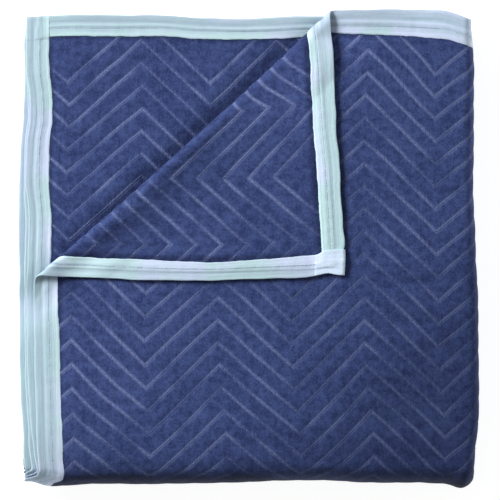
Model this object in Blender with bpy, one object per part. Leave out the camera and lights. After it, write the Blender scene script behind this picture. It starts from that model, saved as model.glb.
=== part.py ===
"""A quilted moving blanket, folded into sixteen layers with one corner turned back.

Metres, +Z up. Each piece is modelled on the flat blanket, whose first corner is at
the origin, with its width along +X and its length along -Y. It is scored where it
will bend, and its points are then carried through four half folds, a turned-back
corner, and the unevenness of a stack folded by hand.
"""

import math

import bmesh
import bpy
import numpy as np
from mathutils import Matrix, Vector

# The flat blanket
WIDTH = 1.829
LENGTH = 2.000
THICKNESS = 0.0034
LAYER_GAP = 0.0006

# The binding tape, folded over the pad's edge
SIDE_TAPE = 0.0233  # finished width along the blanket's long sides
END_TAPE = 0.0217  # finished width along its ends
TAPE_PLY = 0.0005
TAPE_CLOSED = 0.0112  # the outer part, where the tape's two plies lie on each other
TAPE_SLOPE = 0.0020  # where that part rises to go over the pad
TAPE_EDGE = 0.0014  # the thickness of that outer part
PIECE_GAP = 0.00033

# The pad puffs up again beside the tape
PUFF_WIDTH = 0.0017

# Each half fold: the direction it runs in, and how round its nose is (1 is a half circle)
FOLDS = (
    ("across", 0.9),
    ("down", 0.8),
    ("across", 0.6),
    ("down", 0.5),
)
BENDS = 5  # flats round each nose
SCORES = (0.12, 0.50, 0.88)  # score lines, from the open edge (0) to the nose (1)

# The top layer's corner, turned back over the stack
CREASE_DOWN = 0.272  # where the crease meets the left side, from the corner
CREASE_ACROSS = 0.297  # where it meets the top side, from the corner
PULL_DOWN = 0.966  # how the pulled corner draws its cloth along the left side
PULL_ACROSS = 1.034  # and along the top side
PULL_OVER = 0.120  # how far from the crease the pull is felt
ROLL_GAP = 0.0025  # half the hollow inside the roll
ROLL_BENDS = 5
FLAP_STRETCH = 1.043
FLAP_SLANT = 0.2625  # how far the corner is pulled along the crease, for each metre from it
FLAP_DROP = 0.0035  # how far the turned corner sinks towards the layer under it
FLAP_DROP_OVER = 0.080

# How far each layer's open edges stand out past the top layer's, from the top layer down
LAYER_EDGES = (
    # layers, out to the left, out at the top
    (1, 0.0000, 0.0000),
    (1, 0.0082, -0.0035),
    (1, 0.0105, -0.0050),
    (1, 0.0155, -0.0045),
    (2, 0.0090, -0.0060),
    (2, 0.0120, -0.0055),
    (4, 0.0100, -0.0070),
    (4, 0.0080, -0.0050),
)
LEFT_SHARES = (0.75, 0.85, 1.00, 0.80, 0.00)  # share of the stand-out, down the left side
TOP_SHARES = (1.00, 1.00, 1.00, 0.80, 0.00)  # the same, along the top side
NOSE_LEAN = 0.0085  # how far the layers inside the lower nose stand out to the left

# How far each side of the stack wanders outwards from straight, at its score lines
LEFT_WANDER = (0.0015, 0.0005, 0.0000, 0.0000, 0.0000)
RIGHT_WANDER = (-0.0042, -0.0010, 0.0005, 0.0025, 0.0000)
TOP_WANDER = (0.0005, 0.0015, -0.0008, 0.0005, -0.0090)
BOTTOM_WANDER = (0.0000, 0.0025, -0.0010, 0.0000, 0.0010)
CORNER_PEEK = 0.0060  # the lowest layer's corner stands out at the bottom right

# How far the stack sinks below its full height, at its score lines
SINK_ACROSS = (0.060, 0.012, 0.000, 0.010, 0.016)
SINK_DOWN = (0.045, 0.008, 0.000, 0.012, 0.006)

# Where the middle of the folded stack's footprint falls in the blanket's own measure
MIDDLE_ACROSS = 0.23874
MIDDLE_DOWN = 0.28616

NAVY = (0.045, 0.064, 0.181, 1.0)
GREY_BLUE = (0.485, 0.610, 0.680, 1.0)


def clear_scene():
    for old in list(bpy.data.objects):
        bpy.data.objects.remove(old, do_unlink=True)


def nose_arc(height, roundness):
    """The length of cloth that the outermost layer spends on going round a nose."""
    radius = LAYER_GAP / 2 + height - THICKNESS / 2
    return math.pi * radius * math.sqrt((1 + roundness**2) / 2)


def folding_steps():
    """Each half fold in turn, with its crease, its arc and the stack's height before it."""
    near = {"across": 0.0, "down": 0.0}
    far = {"across": WIDTH, "down": LENGTH}
    height = THICKNESS
    steps = []
    for direction, roundness in FOLDS:
        arc = nose_arc(height, roundness)
        crease = (near[direction] + far[direction]) / 2
        steps.append((direction, roundness, crease, arc, height))
        near[direction] += arc / 2
        far[direction] = crease + roundness * (height + LAYER_GAP / 2)
        height = 2 * height + LAYER_GAP
    return steps, near, far, height


STEPS, NEAR, FAR, STACK_HEIGHT = folding_steps()


def folded_under(along, up, roundness, crease, arc, height):
    """Cloth past the crease goes round the nose and comes back underneath."""
    reach = up + LAYER_GAP / 2
    past = along - crease
    turn = math.pi * np.clip(past / arc + 0.5, 0, 1)
    straight = np.minimum(arc / 2 - np.abs(past), 0)
    along = crease + straight + roundness * reach * np.sin(turn)
    up = height + LAYER_GAP / 2 + reach * np.cos(turn)
    return along, up


def half_folded(across, down, up):
    """Carries points of the flat blanket through the four half folds."""
    for direction, roundness, crease, arc, height in STEPS:
        if direction == "across":
            across, up = folded_under(across, up, roundness, crease, arc, height)
        else:
            down, up = folded_under(down, up, roundness, crease, arc, height)
    return across, down, up


CREASE_LENGTH = math.hypot(CREASE_DOWN, CREASE_ACROSS)
CREASE_WAY = (CREASE_ACROSS / CREASE_LENGTH, -CREASE_DOWN / CREASE_LENGTH)  # across, down
CORNER_WAY = (-CREASE_DOWN / CREASE_LENGTH, -CREASE_ACROSS / CREASE_LENGTH)
ROLL_REACH = ROLL_GAP + THICKNESS
ROLL_ARC = math.pi * (ROLL_GAP + THICKNESS / 2)


def past_crease(across, down):
    """How far places, from the top layer's corner, lie past the start of the roll."""
    return across * CORNER_WAY[0] + (down - CREASE_DOWN) * CORNER_WAY[1] + ROLL_REACH


def corner_turned(flat, across, down, up):
    """Rolls the top layer's corner back over the stack, pulled a little along its crease."""
    flat_across, flat_down = flat[:, 0], -flat[:, 1]
    past = past_crease(flat_across * PULL_ACROSS, flat_down * PULL_DOWN)
    on_top = (flat_across < WIDTH / 4) & (flat_down < LENGTH / 4)
    felt = np.where(on_top, np.clip(1 + past / PULL_OVER, 0, 1), 0)
    across = across + felt * flat_across * (PULL_ACROSS - 1)
    down = down + felt * flat_down * (PULL_DOWN - 1)
    turned = on_top & (past > 0)
    turn = math.pi * np.clip(past / ROLL_ARC, 0, 1)
    reach = ROLL_GAP + STACK_HEIGHT - up
    beyond = FLAP_STRETCH * np.maximum(past - ROLL_ARC, 0)
    moved = reach * np.sin(turn) - beyond - past
    pulled = FLAP_SLANT * beyond
    drop = FLAP_DROP * np.clip(beyond / FLAP_DROP_OVER, 0, 1)
    raised = STACK_HEIGHT + ROLL_GAP - reach * np.cos(turn) - drop
    across = across + np.where(turned, moved * CORNER_WAY[0] + pulled * CREASE_WAY[0], 0)
    down = down + np.where(turned, moved * CORNER_WAY[1] + pulled * CREASE_WAY[1], 0)
    return across, down, np.where(turned, raised, up)


def at_scores(values, places):
    """Reads values given at the open edge, at each score line and at the nose."""
    return np.interp(places, (0, *SCORES, 1), values)


def past_last_score(places):
    """From 0 at the last score line to 1 at the nose."""
    return np.clip((places - SCORES[-1]) / (1 - SCORES[-1]), 0, 1)


def layer_edge(up, column):
    """How far the open edge of the layer at each height stands out."""
    heights = []
    edges = []
    top = STACK_HEIGHT
    for row in LAYER_EDGES:
        deep = row[0] * THICKNESS + (row[0] - 1) * LAYER_GAP
        heights += [top, top - deep]
        edges += [row[column], row[column]]
        top -= deep + LAYER_GAP
    return np.interp(up, heights[::-1], edges[::-1])


def share_of_way(across, down):
    """How far points lie from the left side to the right nose, and from the top to the lower one."""
    from_left = (across - NEAR["across"]) / (FAR["across"] - NEAR["across"])
    from_top = (down - NEAR["down"]) / (FAR["down"] - NEAR["down"])
    return from_left, from_top


def handled(across, down, up):
    """The unevenness of folding by hand: layers out of line, and sides that wander."""
    from_left, from_top = share_of_way(across, down)
    to_left = np.clip(1 - from_left, 0, 1)
    to_top = np.clip(1 - from_top, 0, 1)
    lower = 1 - np.clip(up / STACK_HEIGHT, 0, 1)
    lean = NOSE_LEAN * np.sin(math.pi * lower) * past_last_score(from_top)
    out_left = layer_edge(up, 1) * at_scores(LEFT_SHARES, from_top) + lean
    out_left = (out_left + at_scores(LEFT_WANDER, from_top)) * to_left
    out_right = at_scores(RIGHT_WANDER, from_top) * from_left
    out_top = layer_edge(up, 2) * at_scores(TOP_SHARES, from_left)
    out_top = (out_top + at_scores(TOP_WANDER, from_left)) * to_top
    peek = CORNER_PEEK * lower * past_last_score(from_left)
    out_bottom = (at_scores(BOTTOM_WANDER, from_left) + peek) * from_top
    return across - out_left + out_right, down - out_top + out_bottom, up


def settled(across, down, up):
    """Lets the stack sink towards its open sides; its base stays flat."""
    from_left, from_top = share_of_way(across, down)
    return up * (1 - at_scores(SINK_ACROSS, from_left) - at_scores(SINK_DOWN, from_top))


def placed(flat):
    """Where points of the flat blanket lie in the folded one."""
    across, down, up = half_folded(flat[:, 0], -flat[:, 1], flat[:, 2])
    across, down, up = corner_turned(flat, across, down, up)
    across, down, up = handled(across, down, up)
    up = settled(across, down, up)
    return np.stack([across - MIDDLE_ACROSS, MIDDLE_DOWN - down, up], axis=1)


def score_places(direction):
    """The lines on the flat blanket, square to a direction, along which it is scored."""
    near, far = NEAR[direction], FAR[direction]
    places = [near + (far - near) * share for share in SCORES]
    for step_direction, _, crease, arc, _ in reversed(STEPS):
        if step_direction != direction:
            continue
        above = [place - arc / 2 for place in places]
        beneath = [2 * crease + arc / 2 - place for place in places]
        nose = [crease + arc * (i / BENDS - 0.5) for i in range(BENDS + 1)]
        places = above + beneath + nose
    return places


def score(mesh, point, normal):
    whole = mesh.verts[:] + mesh.edges[:] + mesh.faces[:]
    bmesh.ops.bisect_plane(mesh, geom=whole, plane_co=point, plane_no=normal, dist=1e-6)


def score_past_crease(mesh, past):
    """Scores a flat piece along the line that comes to lie this far past the roll's start."""
    normal = Vector((CORNER_WAY[0] * PULL_ACROSS, -CORNER_WAY[1] * PULL_DOWN, 0))
    start = past_crease(0, 0)
    score(mesh, normal * (past - start) / normal.length_squared, normal.normalized())


def score_for_folds(mesh, across, down):
    """Scores a flat piece at every bend, and across the roll of the turned corner."""
    for place in across:
        score(mesh, Vector((place, 0, 0)), Vector((1, 0, 0)))
    for place in down:
        score(mesh, Vector((0, -place, 0)), Vector((0, 1, 0)))
    for i in range(ROLL_BENDS + 1):
        score_past_crease(mesh, ROLL_ARC * i / ROLL_BENDS)
    score_past_crease(mesh, -PULL_OVER)
    score_past_crease(mesh, ROLL_ARC + FLAP_DROP_OVER / FLAP_STRETCH)


def lies_mirrored(middle):
    """Whether a place on the flat blanket lies in a layer that ends up mirrored."""
    return (middle.x // (WIDTH / 4) + -middle.y // (LENGTH / 4)) % 2 == 1


def split_faces(mesh):
    """Splits four-sided faces the same way in layers that lie over one another."""
    for face in list(mesh.faces):
        if len(face.verts) != 4:
            continue
        middle = face.calc_center_bounds()
        lean = Vector((1, -1 if lies_mirrored(middle) else 1, 1))
        half = [max(abs(vert.co[i] - middle[i]) for vert in face.verts) for i in range(3)]
        scale = Vector([lean[i] / half[i] if half[i] > 1e-6 else 0 for i in range(3)])
        corners = sorted(face.verts, key=lambda vert: (vert.co - middle).dot(scale))
        if not joined(corners[0], corners[-1]):
            bmesh.utils.face_split(face, corners[0], corners[-1])
    bmesh.ops.triangulate(mesh, faces=mesh.faces[:])


def joined(vert, other):
    """Whether an edge joins two corners."""
    return any(edge.other_vert(vert) is other for edge in vert.link_edges)


def fold_mesh(mesh):
    """Moves the scored flat piece to its place in the folded blanket."""
    bmesh.ops.recalc_face_normals(mesh, faces=mesh.faces[:])
    flat = np.array([vert.co[:] for vert in mesh.verts])
    for vert, place in zip(mesh.verts, placed(flat)):
        vert.co = place


def cloth_material(name, colour, roughness):
    material = bpy.data.materials.new(name)
    material.use_nodes = True
    surface = material.node_tree.nodes["Principled BSDF"]
    surface.inputs["Base Color"].default_value = colour
    surface.inputs["Roughness"].default_value = roughness
    surface.inputs["Metallic"].default_value = 0.0
    return material


def add_piece(name, mesh, material, collection):
    data = bpy.data.meshes.new(name)
    mesh.to_mesh(data)
    mesh.free()
    data.materials.append(material)
    piece = bpy.data.objects.new(name, data)
    collection.objects.link(piece)
    return piece


def pinch_pad(mesh):
    """Presses the pad's rim flat, where the tape holds it."""
    rim = THICKNESS - 2 * (TAPE_PLY + PIECE_GAP)
    for vert in mesh.verts:
        past_side = min(vert.co.x, WIDTH - vert.co.x) - SIDE_TAPE
        past_end = min(-vert.co.y, LENGTH + vert.co.y) - END_TAPE
        puffed = min(max((min(past_side, past_end) - PIECE_GAP) / PUFF_WIDTH, 0), 1)
        thickness = rim + (THICKNESS - rim) * puffed
        vert.co.z = THICKNESS / 2 + (vert.co.z - THICKNESS / 2) * thickness / THICKNESS


def rim_places(tape_width, length):
    """Where the pad leaves the tape and where it is fully puffed, at both ends of a length."""
    held = tape_width + PIECE_GAP
    rims = [held, held + PUFF_WIDTH]
    return rims + [length - rim for rim in rims]


def build_pad(material, collection):
    mesh = bmesh.new()
    edge = TAPE_CLOSED + PIECE_GAP
    bmesh.ops.create_cube(mesh, size=1)
    size = Vector((WIDTH - 2 * edge, LENGTH - 2 * edge, THICKNESS))
    bmesh.ops.scale(mesh, vec=size, verts=mesh.verts)
    bmesh.ops.translate(mesh, vec=(WIDTH / 2, -LENGTH / 2, THICKNESS / 2), verts=mesh.verts)
    across = score_places("across") + rim_places(SIDE_TAPE, WIDTH)
    down = score_places("down") + rim_places(END_TAPE, LENGTH)
    score_for_folds(mesh, across, down)
    pinch_pad(mesh)
    split_faces(mesh)
    fold_mesh(mesh)
    return add_piece("quilted_pad", mesh, material, collection)


def tape_profile(width):
    """The tape's cross-section: (in from its outer edge, up)."""
    middle = THICKNESS / 2
    edge_low, edge_high = middle - TAPE_EDGE / 2, middle + TAPE_EDGE / 2
    inner_low, inner_high = TAPE_PLY, THICKNESS - TAPE_PLY
    return (
        (0, edge_low),
        (TAPE_CLOSED - TAPE_SLOPE, edge_low),
        (TAPE_CLOSED, 0),
        (width, 0),
        (width, inner_low),
        (TAPE_CLOSED, inner_low),
        (TAPE_CLOSED, inner_high),
        (width, inner_high),
        (width, THICKNESS),
        (TAPE_CLOSED, THICKNESS),
        (TAPE_CLOSED - TAPE_SLOPE, edge_high),
        (0, edge_high),
    )


def straight_strip(width, length):
    """A straight length of folded tape, its outer edge along Y and its open side towards +X."""
    curve = bpy.data.curves.new("tape profile", "CURVE")
    curve.dimensions = "2D"
    curve.fill_mode = "BOTH"
    curve.extrude = length / 2
    profile = tape_profile(width)
    spline = curve.splines.new("POLY")
    spline.points.add(len(profile) - 1)
    for point, (inward, up) in zip(spline.points, profile):
        point.co = (inward, up, 0, 1)
    spline.use_cyclic_u = True
    outline = bpy.data.objects.new("tape profile", curve)
    bpy.context.scene.collection.objects.link(outline)
    depsgraph = bpy.context.evaluated_depsgraph_get()
    data = bpy.data.meshes.new_from_object(outline.evaluated_get(depsgraph))
    mesh = bmesh.new()
    mesh.from_mesh(data)
    bmesh.ops.remove_doubles(mesh, verts=mesh.verts, dist=1e-6)
    bmesh.ops.rotate(mesh, matrix=Matrix.Rotation(math.radians(90), 3, "X"), verts=mesh.verts)
    bpy.data.objects.remove(outline, do_unlink=True)
    bpy.data.curves.remove(curve)
    bpy.data.meshes.remove(data)
    return mesh


def build_side_tape(name, far_side, material, collection):
    """A tape along one long side of the flat blanket; it runs through both corners."""
    mesh = straight_strip(SIDE_TAPE, LENGTH)
    turn = Matrix.Rotation(math.radians(180 if far_side else 0), 3, "Z")
    middle = (WIDTH if far_side else 0, -LENGTH / 2, 0)
    bmesh.ops.rotate(mesh, matrix=turn, verts=mesh.verts)
    bmesh.ops.translate(mesh, vec=middle, verts=mesh.verts)
    score_for_folds(mesh, [], score_places("down"))
    split_faces(mesh)
    fold_mesh(mesh)
    return add_piece(name, mesh, material, collection)


def build_end_tape(name, far_end, material, collection):
    """A tape along one end of the flat blanket; it butts against the side tapes."""
    mesh = straight_strip(END_TAPE, WIDTH - 2 * (SIDE_TAPE + PIECE_GAP))
    turn = Matrix.Rotation(math.radians(90 if far_end else -90), 3, "Z")
    middle = (WIDTH / 2, -LENGTH if far_end else 0, 0)
    bmesh.ops.rotate(mesh, matrix=turn, verts=mesh.verts)
    bmesh.ops.translate(mesh, vec=middle, verts=mesh.verts)
    score_for_folds(mesh, score_places("across"), [])
    split_faces(mesh)
    fold_mesh(mesh)
    return add_piece(name, mesh, material, collection)


def main():
    clear_scene()
    collection = bpy.data.collections.new("moving_blanket")
    bpy.context.scene.collection.children.link(collection)
    navy = cloth_material("navy quilt", NAVY, 0.92)
    tape = cloth_material("grey blue tape", GREY_BLUE, 0.85)
    build_pad(navy, collection)
    build_side_tape("side_binding_1", False, tape, collection)
    build_side_tape("side_binding_2", True, tape, collection)
    build_end_tape("end_binding_1", False, tape, collection)
    build_end_tape("end_binding_2", True, tape, collection)


main()
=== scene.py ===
# A quilted moving blanket, folded into sixteen layers, with its top corner turned back
import math

import bmesh
import bpy
import numpy as np
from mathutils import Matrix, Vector


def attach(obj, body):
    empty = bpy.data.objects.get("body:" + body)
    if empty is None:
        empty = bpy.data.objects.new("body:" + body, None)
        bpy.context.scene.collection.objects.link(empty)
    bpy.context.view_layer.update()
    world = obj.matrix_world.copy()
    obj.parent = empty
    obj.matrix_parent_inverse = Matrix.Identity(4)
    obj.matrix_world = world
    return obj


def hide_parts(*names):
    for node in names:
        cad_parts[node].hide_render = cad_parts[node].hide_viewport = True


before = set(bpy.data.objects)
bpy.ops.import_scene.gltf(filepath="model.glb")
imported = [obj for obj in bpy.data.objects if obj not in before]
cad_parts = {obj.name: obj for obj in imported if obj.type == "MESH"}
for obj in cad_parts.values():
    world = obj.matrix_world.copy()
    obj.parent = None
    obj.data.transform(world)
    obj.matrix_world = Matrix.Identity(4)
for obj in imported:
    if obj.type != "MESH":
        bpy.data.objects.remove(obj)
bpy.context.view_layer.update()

# How the flat blanket is folded. Its first corner is at the origin, its width runs along +X
# and its length along -Y, in metres, as in the part's own solids
fold = {
    "width": 1.829,
    "length": 2.000,
    "thickness": 0.0034,
    "layerGap": 0.0006,
    "halfFolds": (("across", 0.9), ("down", 0.8), ("across", 0.6), ("down", 0.5)),
    "scores": (0.12, 0.50, 0.88),  # shares of the way from the open edge to the nose
    "middleAcross": 0.23874,
    "middleDown": 0.28616,
}
# The top layer's corner, rolled back over the stack
corner = {
    "creaseDown": 0.272,
    "creaseAcross": 0.297,
    "pullDown": 0.966,
    "pullAcross": 1.034,
    "pullOver": 0.120,
    "rollGap": 0.0025,
    "stretch": 1.043,
    "slant": 0.2625,
    "drop": 0.0040,
    "dropOver": 0.045,
    # how far it was pulled straight by hand, in millimetres: to the right at places up from
    # its lower edge, and down at places in from its right edge
    "tugRight": ((0, -1.2), (20, 1.2), (40, 1.9), (155, 2.9), (200, 3.3), (260, 4.6)),
    "tugDown": ((0, 1.6), (36, 2.9), (56, 2.9), (117, 3.2), (178, 0.6), (238, -4.2), (270, -5.6)),
}
# A stack folded by hand: layers out of line, sides that wander, a top that sinks
uneven = {
    "layerEdges": (  # layers, out to the left, out at the top
        (1, 0.0000, 0.0000),
        (1, 0.0082, -0.0035),
        (1, 0.0105, -0.0050),
        (1, 0.0155, -0.0045),
        (2, 0.0090, -0.0060),
        (2, 0.0120, -0.0055),
        (4, 0.0100, -0.0070),
        (4, 0.0080, -0.0050),
    ),
    "leftShares": (0.75, 0.85, 1.00, 0.80, 0.00),
    "topShares": (1.00, 1.00, 1.00, 0.80, 0.00),
    "noseLean": 0.0085,
    "leftWander": (0.0015, 0.0005, 0.0000, 0.0000, 0.0000),
    "rightWander": (-0.0042, -0.0010, 0.0005, 0.0025, 0.0000),
    "topWander": (0.0005, 0.0015, -0.0008, 0.0005, -0.0090),
    "bottomWander": (0.0000, 0.0025, -0.0010, 0.0000, 0.0010),
    "cornerPeek": 0.0060,
    "sinkAcross": (0.030, 0.008, 0.000, 0.010, 0.016),
    "sinkDown": (0.024, 0.004, 0.000, 0.012, 0.006),
    "foldDroop": (0.88, 0.130, 1.6),  # the top rounds over towards the lower fold: from, by, how sharply
}
# The same by smaller steps, as share of the way along each side and millimetres moved
handShaped = {
    "topLayersRight": (  # the two top layers' left edges
        (0.00, -1.2), (0.06, -1.4), (0.12, -1.3), (0.17, 1.6), (0.20, 2.4), (0.225, 2.2), (0.26, -0.2),
        (0.30, -1.3), (0.37, -1.1), (0.41, 1.2), (0.46, 1.8), (0.50, 1.2), (0.56, 0.0), (0.61, 0.0),
        (0.70, 0.6), (0.80, 1.3), (0.90, 3.0), (0.95, 4.2), (1.00, 7.6),
    ),
    "stackRight": (  # the left edges of the layers below
        (0.00, 4.8), (0.05, 2.2), (0.09, 2.9), (0.13, 3.4), (0.18, 2.4), (0.22, 2.4), (0.27, 0.1),
        (0.35, -0.7), (0.40, -1.4), (0.52, -0.9), (0.60, 0.0), (0.70, 0.8), (0.75, 0.9), (0.82, 0.3),
        (0.90, -0.2), (0.94, -2.8), (1.00, -3.0),
    ),
    "foldRight": (  # the folds on the right
        (0.00, -2.0), (0.05, -1.6), (0.09, -1.2), (0.14, -2.3), (0.18, -2.8), (0.30, -3.5), (0.35, -4.1),
        (0.40, -3.4), (0.45, -2.0), (0.52, -1.4), (0.57, -0.1), (0.70, -0.1), (0.83, -0.3),
        (0.87, -1.0), (0.91, -3.0), (1.00, -3.2),
    ),
    "topDown": (
        (0.00, 1.4), (0.03, 1.0), (0.07, 0.2), (0.14, 0.3), (0.20, 0.2), (0.33, 0.1), (0.37, 1.2),
        (0.42, 1.9), (0.54, 1.2), (0.60, -0.3), (0.70, 0.6), (0.76, 0.6), (0.81, 0.8), (0.86, 1.4),
        (0.90, 1.3), (0.94, -0.6), (1.00, 1.6),
    ),
    "bottomDown": (
        (0.00, -0.4), (0.02, -0.4), (0.05, 2.4), (0.085, 1.4), (0.12, -0.2), (0.28, 0.6), (0.50, 0.6),
        (0.55, -0.6), (0.60, -1.0), (0.68, -1.0), (0.73, 0.4), (0.90, 0.2), (0.945, 0.2),
        (0.972, 2.8), (1.00, -2.0),
    ),
    "reach": 0.22,  # how far in from a side its moves are felt
    "topTwo": (0.014, 0.006),  # how far below the top the first table begins, and is all
}


def noseArc(height, roundness):
    radius = fold["layerGap"] / 2 + height - fold["thickness"] / 2
    return math.pi * radius * math.sqrt((1 + roundness**2) / 2)


def foldingSteps():
    near = {"across": 0.0, "down": 0.0}
    far = {"across": fold["width"], "down": fold["length"]}
    height = fold["thickness"]
    steps = []
    for direction, roundness in fold["halfFolds"]:
        arc = noseArc(height, roundness)
        crease = (near[direction] + far[direction]) / 2
        steps.append((direction, roundness, crease, arc, height))
        near[direction] += arc / 2
        far[direction] = crease + roundness * (height + fold["layerGap"] / 2)
        height = 2 * height + fold["layerGap"]
    return steps, near, far, height


steps, nearSide, farSide, stackHeight = foldingSteps()
creaseLength = math.hypot(corner["creaseDown"], corner["creaseAcross"])
creaseWay = (corner["creaseAcross"] / creaseLength, -corner["creaseDown"] / creaseLength)
cornerWay = (-corner["creaseDown"] / creaseLength, -corner["creaseAcross"] / creaseLength)
rollReach = corner["rollGap"] + fold["thickness"]
rollArc = math.pi * (corner["rollGap"] + fold["thickness"] / 2)


def foldedUnder(along, up, roundness, crease, arc, height):
    reach = up + fold["layerGap"] / 2
    past = along - crease
    turn = math.pi * np.clip(past / arc + 0.5, 0, 1)
    straight = np.minimum(arc / 2 - np.abs(past), 0)
    along = crease + straight + roundness * reach * np.sin(turn)
    return along, height + fold["layerGap"] / 2 + reach * np.cos(turn)


def halfFolded(across, down, up):
    for direction, roundness, crease, arc, height in steps:
        if direction == "across":
            across, up = foldedUnder(across, up, roundness, crease, arc, height)
        else:
            down, up = foldedUnder(down, up, roundness, crease, arc, height)
    return across, down, up


def pastCrease(across, down):  # how far a place lies past the start of the roll
    return across * cornerWay[0] + (down - corner["creaseDown"]) * cornerWay[1] + rollReach


def pastOnFlat(across, down):
    return pastCrease(across * corner["pullAcross"], down * corner["pullDown"])


def onTopLayer(across, down):
    return (across < fold["width"] / 4) & (down < fold["length"] / 4)


def curveThrough(knots, values, slopes, places):
    places = np.clip(places, knots[0], knots[-1])
    i = np.clip(np.searchsorted(knots, places, side="right") - 1, 0, len(knots) - 2)
    gap = knots[i + 1] - knots[i]
    t = (places - knots[i]) / gap
    bent = (2 * t**3 - 3 * t**2 + 1) * values[i] + (t**3 - 2 * t**2 + t) * gap * slopes[i]
    return bent + (3 * t**2 - 2 * t**3) * values[i + 1] + (t**3 - t**2) * gap * slopes[i + 1]


def table(rows, places):  # a curve through rows of two numbers
    knots, values = np.array(rows, float).T
    return curveThrough(knots, values, np.gradient(values, knots), places)


def straightTable(rows, places):  # the same in straight lines
    return np.interp(places, *np.array(rows, float).T)


def smooth(x):  # eases from 0 to 1
    x = np.clip(x, 0, 1)
    return x * x * (3 - 2 * x)


def ramp(value, begin, end):
    return smooth((value - begin) / (end - begin))


def tugged(flatAcross, flatDown):
    right = table(corner["tugRight"], flatAcross * 1000) / 1000
    down = table(corner["tugDown"], flatDown * 1000) / 1000
    return right, down


def cornerTurned(flatAcross, flatDown, across, down, up):
    past = pastOnFlat(flatAcross, flatDown)
    onTop = onTopLayer(flatAcross, flatDown)
    felt = np.where(onTop, np.clip(1 + past / corner["pullOver"], 0, 1), 0)
    across = across + felt * flatAcross * (corner["pullAcross"] - 1)
    down = down + felt * flatDown * (corner["pullDown"] - 1)
    turned = onTop & (past > 0)
    turn = math.pi * np.clip(past / rollArc, 0, 1)
    reach = corner["rollGap"] + stackHeight - up
    beyond = corner["stretch"] * np.maximum(past - rollArc, 0)
    moved = reach * np.sin(turn) - beyond - past
    pulled = corner["slant"] * beyond
    drop = corner["drop"] * np.clip(beyond / corner["dropOver"], 0, 1)
    raised = stackHeight + corner["rollGap"] - reach * np.cos(turn) - drop
    tugRight, tugDown = tugged(flatAcross, flatDown)
    rolled = smooth(past / rollArc)
    movedAcross = moved * cornerWay[0] + pulled * creaseWay[0] + rolled * tugRight
    movedDown = moved * cornerWay[1] + pulled * creaseWay[1] + rolled * tugDown
    across = across + np.where(turned, movedAcross, 0)
    down = down + np.where(turned, movedDown, 0)
    return across, down, np.where(turned, raised, up)


def eased(values, places):  # a curve through values at the score lines
    knots = np.array((0, *fold["scores"], 1.0))
    values = np.array(values)
    slopes = np.diff(values) / np.diff(knots)
    tangents = np.concatenate([slopes[:1], (slopes[:-1] + slopes[1:]) / 2, slopes[-1:]])
    flats = np.concatenate([[False], slopes[:-1] * slopes[1:] <= 0, [False]])
    tangents[flats] = 0
    return curveThrough(knots, values, tangents, places)


def pastLastScore(places):
    last = fold["scores"][-1]
    return np.clip((places - last) / (1 - last), 0, 1)


def layerEdge(up, column):
    heights = []
    edges = []
    top = stackHeight
    for row in uneven["layerEdges"]:
        deep = row[0] * fold["thickness"] + (row[0] - 1) * fold["layerGap"]
        heights += [top, top - deep]
        edges += [row[column], row[column]]
        top -= deep + fold["layerGap"]
    return np.interp(up, heights[::-1], edges[::-1])


def shareOfWay(across, down):
    fromLeft = (across - nearSide["across"]) / (farSide["across"] - nearSide["across"])
    fromTop = (down - nearSide["down"]) / (farSide["down"] - nearSide["down"])
    return fromLeft, fromTop


def sideMoves(fromLeft, fromTop, layer):  # to the right and down, in metres
    reach = handShaped["reach"]
    begin, whole = handShaped["topTwo"]
    topLayers = ramp(layer, stackHeight - begin, stackHeight - whole)
    left = table(handShaped["topLayersRight"], fromTop) * topLayers
    left = left + table(handShaped["stackRight"], fromTop) * (1 - topLayers)
    left = left * smooth(1 - fromLeft / reach)
    right = table(handShaped["foldRight"], fromTop) * smooth(1 - (1 - fromLeft) / reach)
    top = table(handShaped["topDown"], fromLeft) * smooth(1 - fromTop / reach)
    bottom = table(handShaped["bottomDown"], fromLeft) * smooth(1 - (1 - fromTop) / reach)
    lying = layer < stackHeight + fold["layerGap"]  # not the turned corner
    return (left + right) / 1000 * lying, (top + bottom) / 1000 * lying


def handled(across, down, up, layer):
    fromLeft, fromTop = shareOfWay(across, down)
    moveRight, moveDown = sideMoves(fromLeft, fromTop, layer)
    toLeft = np.clip(1 - fromLeft, 0, 1)
    toTop = np.clip(1 - fromTop, 0, 1)
    lower = 1 - np.clip(up / stackHeight, 0, 1)
    lean = uneven["noseLean"] * np.sin(math.pi * lower) * pastLastScore(fromTop)
    outLeft = layerEdge(layer, 1) * eased(uneven["leftShares"], fromTop) + lean
    outLeft = (outLeft + eased(uneven["leftWander"], fromTop)) * toLeft
    outRight = eased(uneven["rightWander"], fromTop) * fromLeft
    outTop = layerEdge(layer, 2) * eased(uneven["topShares"], fromLeft)
    outTop = (outTop + eased(uneven["topWander"], fromLeft)) * toTop
    peek = uneven["cornerPeek"] * lower * pastLastScore(fromLeft)
    outBottom = (eased(uneven["bottomWander"], fromLeft) + peek) * fromTop
    return across - outLeft + outRight + moveRight, down - outTop + outBottom + moveDown, up


def settled(across, down, up):
    fromLeft, fromTop = shareOfWay(across, down)
    begin, deepest, power = uneven["foldDroop"]
    droop = deepest * np.clip((fromTop - begin) / (1 - begin), 0, 1) ** power
    sunk = eased(uneven["sinkAcross"], fromLeft) + eased(uneven["sinkDown"], fromTop) + droop
    return up * (1 - sunk)


# Soft troughs (down) and ridges (up) left by handling: place, heading in degrees,
# half length, half width and depth, in millimetres from the middle of the stack
creases = (
    (165, -33, 8, 34, 7, 1.6),
    (172, -72, -6, 40, 8, 1.8),
    (156, -150, -18, 30, 11, 2.4),
    (195, -100, 12, 26, 8, 1.5),
    (120, -175, -8, 40, 9, 1.2),
    (-213, -41, 50, 7, 2.4, 1.1),
    (-215, -49, 50, 6, 2.4, 1.0),
)
feltBelow = 3  # the higher, the less the layers below feel them
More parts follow.
